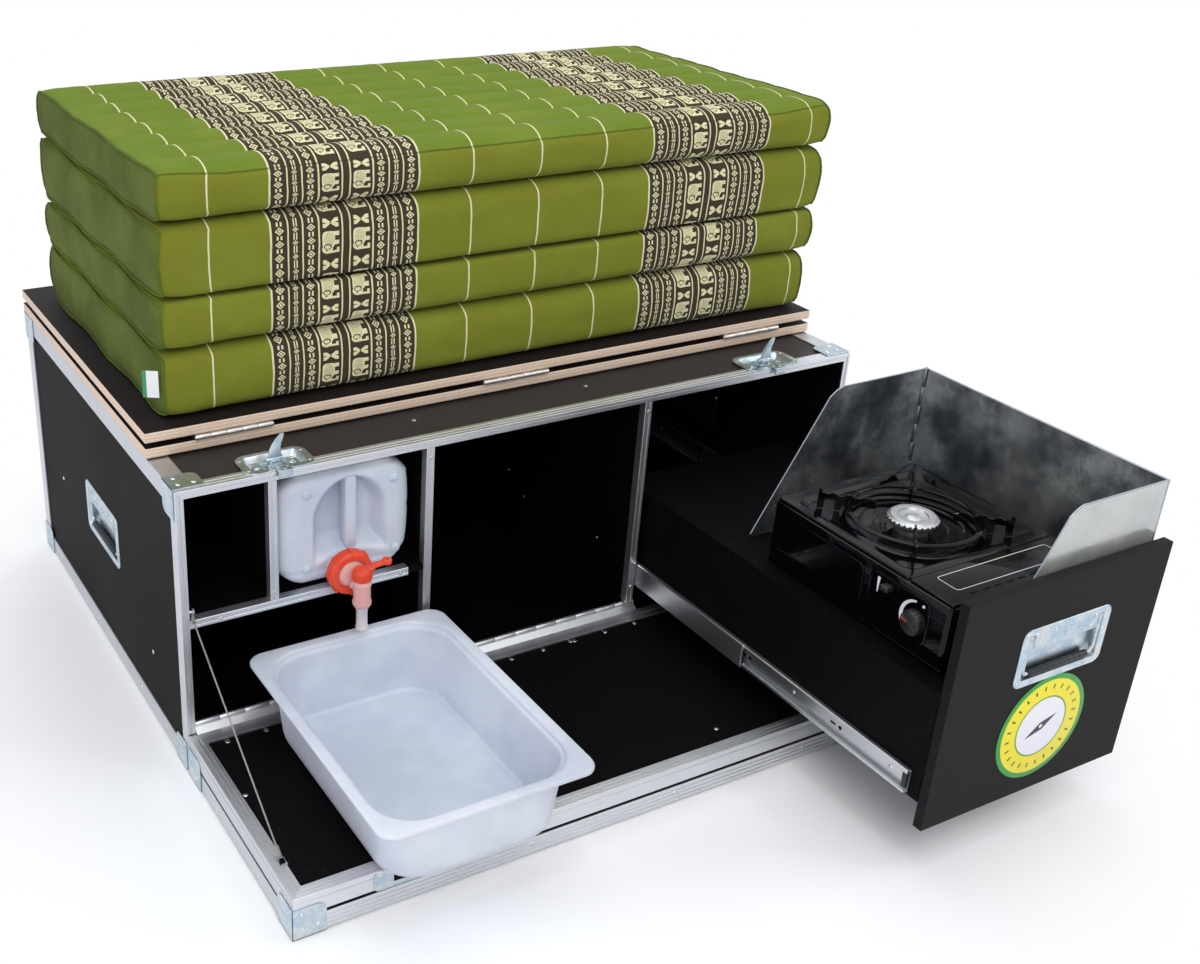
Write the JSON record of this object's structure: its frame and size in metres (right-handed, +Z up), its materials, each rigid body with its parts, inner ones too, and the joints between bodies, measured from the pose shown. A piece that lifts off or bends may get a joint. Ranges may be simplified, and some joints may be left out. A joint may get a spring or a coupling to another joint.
{
  "type": "camping box",
  "caption": "Plywood flight case opening into a camp kitchen: front flap with tub, canister with tap, stove drawer with windshield, folding bed boards and folded mattress on top.",
  "frame": {"origin": "centre of the whole outline's footprint, on the ground under the case's corner fittings", "axes": "+X along the case's front to the right, +Y from the opened front flap to the back wall, +Z up"},
  "size_m": [1.2096, 1.4104, 0.8587],
  "materials": {
    "film_ply": "satin black phenolic film over birch plywood, cut edges sealed",
    "aluminium": "brushed extruded profile",
    "zinc": "bluish zinc-plated pressed steel",
    "steel": "bright rolled steel",
    "rubber": "moulded black grip on a zinc-plated bail",
    "birch": "bare birch plywood with dark glue lines",
    "cotton": "woven green cotton with brown bands and cream woven figures",
    "milky": "natural translucent polyethylene",
    "red_plastic": "moulded orange-red polypropylene",
    "rose_plastic": "translucent pinkish polypropylene",
    "enamel": "gloss black enamel on sheet steel",
    "galvanised": "mottled aluminised sheet steel",
    "cable": "stranded steel wire with crimped ends",
    "cartridge": "painted tinplate"
  },
  "bodies": {
    "case": {"left_panel": "film_ply", "right_panel": "film_ply", "back_panel": "film_ply", "base_panel": "film_ply", "top_panel": "film_ply", "left_divider": "film_ply", "right_divider": "film_ply", "canister_shelf": "film_ply", "front_frame": "aluminium", "base_edge_frame": "zinc", "top_edge_frame": "zinc", "left_handle_dish": "zinc", "right_handle_dish": "zinc", "left_latch_dish": "zinc", "right_latch_dish": "zinc", "left_outer_rail": "steel", "right_outer_rail": "steel", "hinge_case_leaf": "aluminium", "lower_bed_board": "birch", "stay_cable": "cable"},
    "left_grip": {"left_handle_bail": "rubber"},
    "right_grip": {"right_handle_bail": "rubber"},
    "left_butterfly": {"left_latch_rotor": "zinc"},
    "right_butterfly": {"right_latch_rotor": "zinc"},
    "left_hook": {"left_latch_claw": "zinc"},
    "right_hook": {"right_latch_claw": "zinc"},
    "middle_slides": {"left_middle_rail": "steel", "right_middle_rail": "steel"},
    "flap": {"flap_outer_shell": "film_ply", "flap_inner_panel": "film_ply", "flap_edge_frame": "zinc", "flap_closing_frame": "aluminium", "hinge_flap_leaf": "aluminium"},
    "tub": {"washing_tub": "milky"},
    "canister": {"water_canister": "milky", "canister_cap": "red_plastic", "tap_barrel": "rose_plastic"},
    "tap": {"tap_lever": "red_plastic"},
    "drawer": {"drawer_front": "film_ply", "drawer_box": "film_ply", "drawer_deck": "film_ply", "left_inner_rail": "steel", "right_inner_rail": "steel", "drawer_handle_dish": "zinc", "stove_body": "enamel", "cartridge_cover": "enamel", "gas_cartridge": "cartridge", "stove_hob": "enamel", "burner": "steel"},
    "drawer_grip": {"drawer_handle_bail": "rubber"},
    "support": {"pan_support": "enamel"},
    "knob": {"stove_knob": "enamel"},
    "lever": {"stove_lever": "enamel"},
    "windshield": {"windshield_sheet": "galvanised"},
    "wing": {"windshield_wing": "galvanised"},
    "bed": {"upper_bed_board": "birch"},
    "mattress_base": {"mattress_segment_4": "cotton"},
    "mattress_third": {"mattress_segment_3": "cotton"},
    "mattress_second": {"mattress_segment_2": "cotton"},
    "mattress_top": {"mattress_segment_1": "cotton"}
  },
  "joints": [
    {"name": "drawer_slide", "type": "slide", "parent": "case", "child": "drawer", "axis": [0, 1, 0], "range_m": [0, 0.64]},
    {"name": "middle_slide", "type": "slide", "parent": "case", "child": "middle_slides", "axis": [0, 1, 0], "range_m": [0, 0.32]},
    {"name": "drawer_grip_swing", "type": "hinge", "parent": "drawer", "child": "drawer_grip", "pos_m": [0.3978, -0.6997, 0.337], "axis": [-1, 0, 0], "range_deg": [0, 90]},
    {"name": "windshield_lift", "type": "slide", "parent": "drawer", "child": "windshield", "axis": [0, 0, 1], "range_m": [0, 1.2165]},
    {"name": "wing_fold", "type": "hinge", "parent": "windshield", "child": "wing", "pos_m": [0.567, -0.2505, 0.4], "axis": [0, 0, -1], "range_deg": [0, 30]},
    {"name": "support_lift", "type": "slide", "parent": "drawer", "child": "support", "axis": [0, 0, 1], "range_m": [0, 0.03]},
    {"name": "knob_turn", "type": "hinge", "parent": "drawer", "child": "knob", "pos_m": [0.2168, -0.6045, 0.339], "axis": [-1, 0, 0], "range_deg": [0, 120]},
    {"name": "cartridge_lever", "type": "slide", "parent": "drawer", "child": "lever", "axis": [0, 0, -1], "range_m": [0, 0.02]},
    {"name": "flap_hinge", "type": "hinge", "parent": "case", "child": "flap", "pos_m": [-0.0032, -0.0535, 0.075], "axis": [-1, 0, 0], "range_deg": [0, 4], "deforming": ["stay_cable"]},
    {"name": "tub_slide", "type": "slide", "parent": "flap", "child": "tub", "axis": [0, -1, 0], "range_m": [0, 0.25]},
    {"name": "canister_pull", "type": "slide", "parent": "case", "child": "canister", "axis": [0, -1, 0], "range_m": [0, 0.33]},
    {"name": "tap_turn", "type": "hinge", "parent": "canister", "child": "tap", "pos_m": [-0.3422, -0.1035, 0.294], "axis": [0, 0, -1], "range_deg": [0, 90]},
    {"name": "left_grip_swing", "type": "hinge", "parent": "case", "child": "left_grip", "pos_m": [-0.5973, 0.3125, 0.261], "axis": [0, 1, 0], "range_deg": [0, 90]},
    {"name": "right_grip_swing", "type": "hinge", "parent": "case", "child": "right_grip", "pos_m": [0.5909, 0.3125, 0.261], "axis": [0, -1, 0], "range_deg": [0, 90]},
    {"name": "left_latch_turn", "type": "hinge", "parent": "case", "child": "left_butterfly", "pos_m": [-0.4432, -0.0305, 0.47], "axis": [0, 0, 1], "range_deg": [0, 180]},
    {"name": "left_hook_slide", "type": "slide", "parent": "case", "child": "left_hook", "axis": [0, -1, 0], "range_m": [0, 0.0101]},
    {"name": "right_latch_turn", "type": "hinge", "parent": "case", "child": "right_butterfly", "pos_m": [0.4368, -0.0305, 0.47], "axis": [0, 0, 1], "range_deg": [0, 180]},
    {"name": "right_hook_slide", "type": "slide", "parent": "case", "child": "right_hook", "axis": [0, -1, 0], "range_m": [0, 0.0101]},
    {"name": "mattress_lift", "type": "slide", "parent": "case", "child": "mattress_base", "axis": [0, 0, 1], "range_m": [0, 1.649]},
    {"name": "bed_board_fold", "type": "hinge", "parent": "case", "child": "bed", "pos_m": [-0.0032, 0.0445, 0.48145], "axis": [1, 0, 0], "range_deg": [0, 135]},
    {"name": "mattress_fold_3", "type": "hinge", "parent": "mattress_base", "child": "mattress_third", "pos_m": [-0.0032, 0.6495, 0.6], "axis": [-1, 0, 0], "range_deg": [0, 130]},
    {"name": "mattress_fold_2", "type": "hinge", "parent": "mattress_third", "child": "mattress_second", "pos_m": [-0.0032, 0.0645, 0.6773], "axis": [1, 0, 0], "range_deg": [0, 170]},
    {"name": "mattress_fold_1", "type": "hinge", "parent": "mattress_second", "child": "mattress_top", "pos_m": [-0.0032, 0.6495, 0.7805], "axis": [-1, 0, 0], "range_deg": [0, 180]}
  ],
  "couplings": [
    {"joint": "middle_slide", "follows": "drawer_slide", "ratio": 0.5},
    {"joint": "windshield_lift", "follows": "drawer_slide", "ratio": 1.9},
    {"joint": "left_hook_slide", "follows": "left_latch_turn", "m_per_rad": 0.0032},
    {"joint": "right_hook_slide", "follows": "right_latch_turn", "m_per_rad": 0.0032},
    {"joint": "bed_board_fold", "follows": "mattress_lift", "rad_per_m": 1.4286}
  ]
}
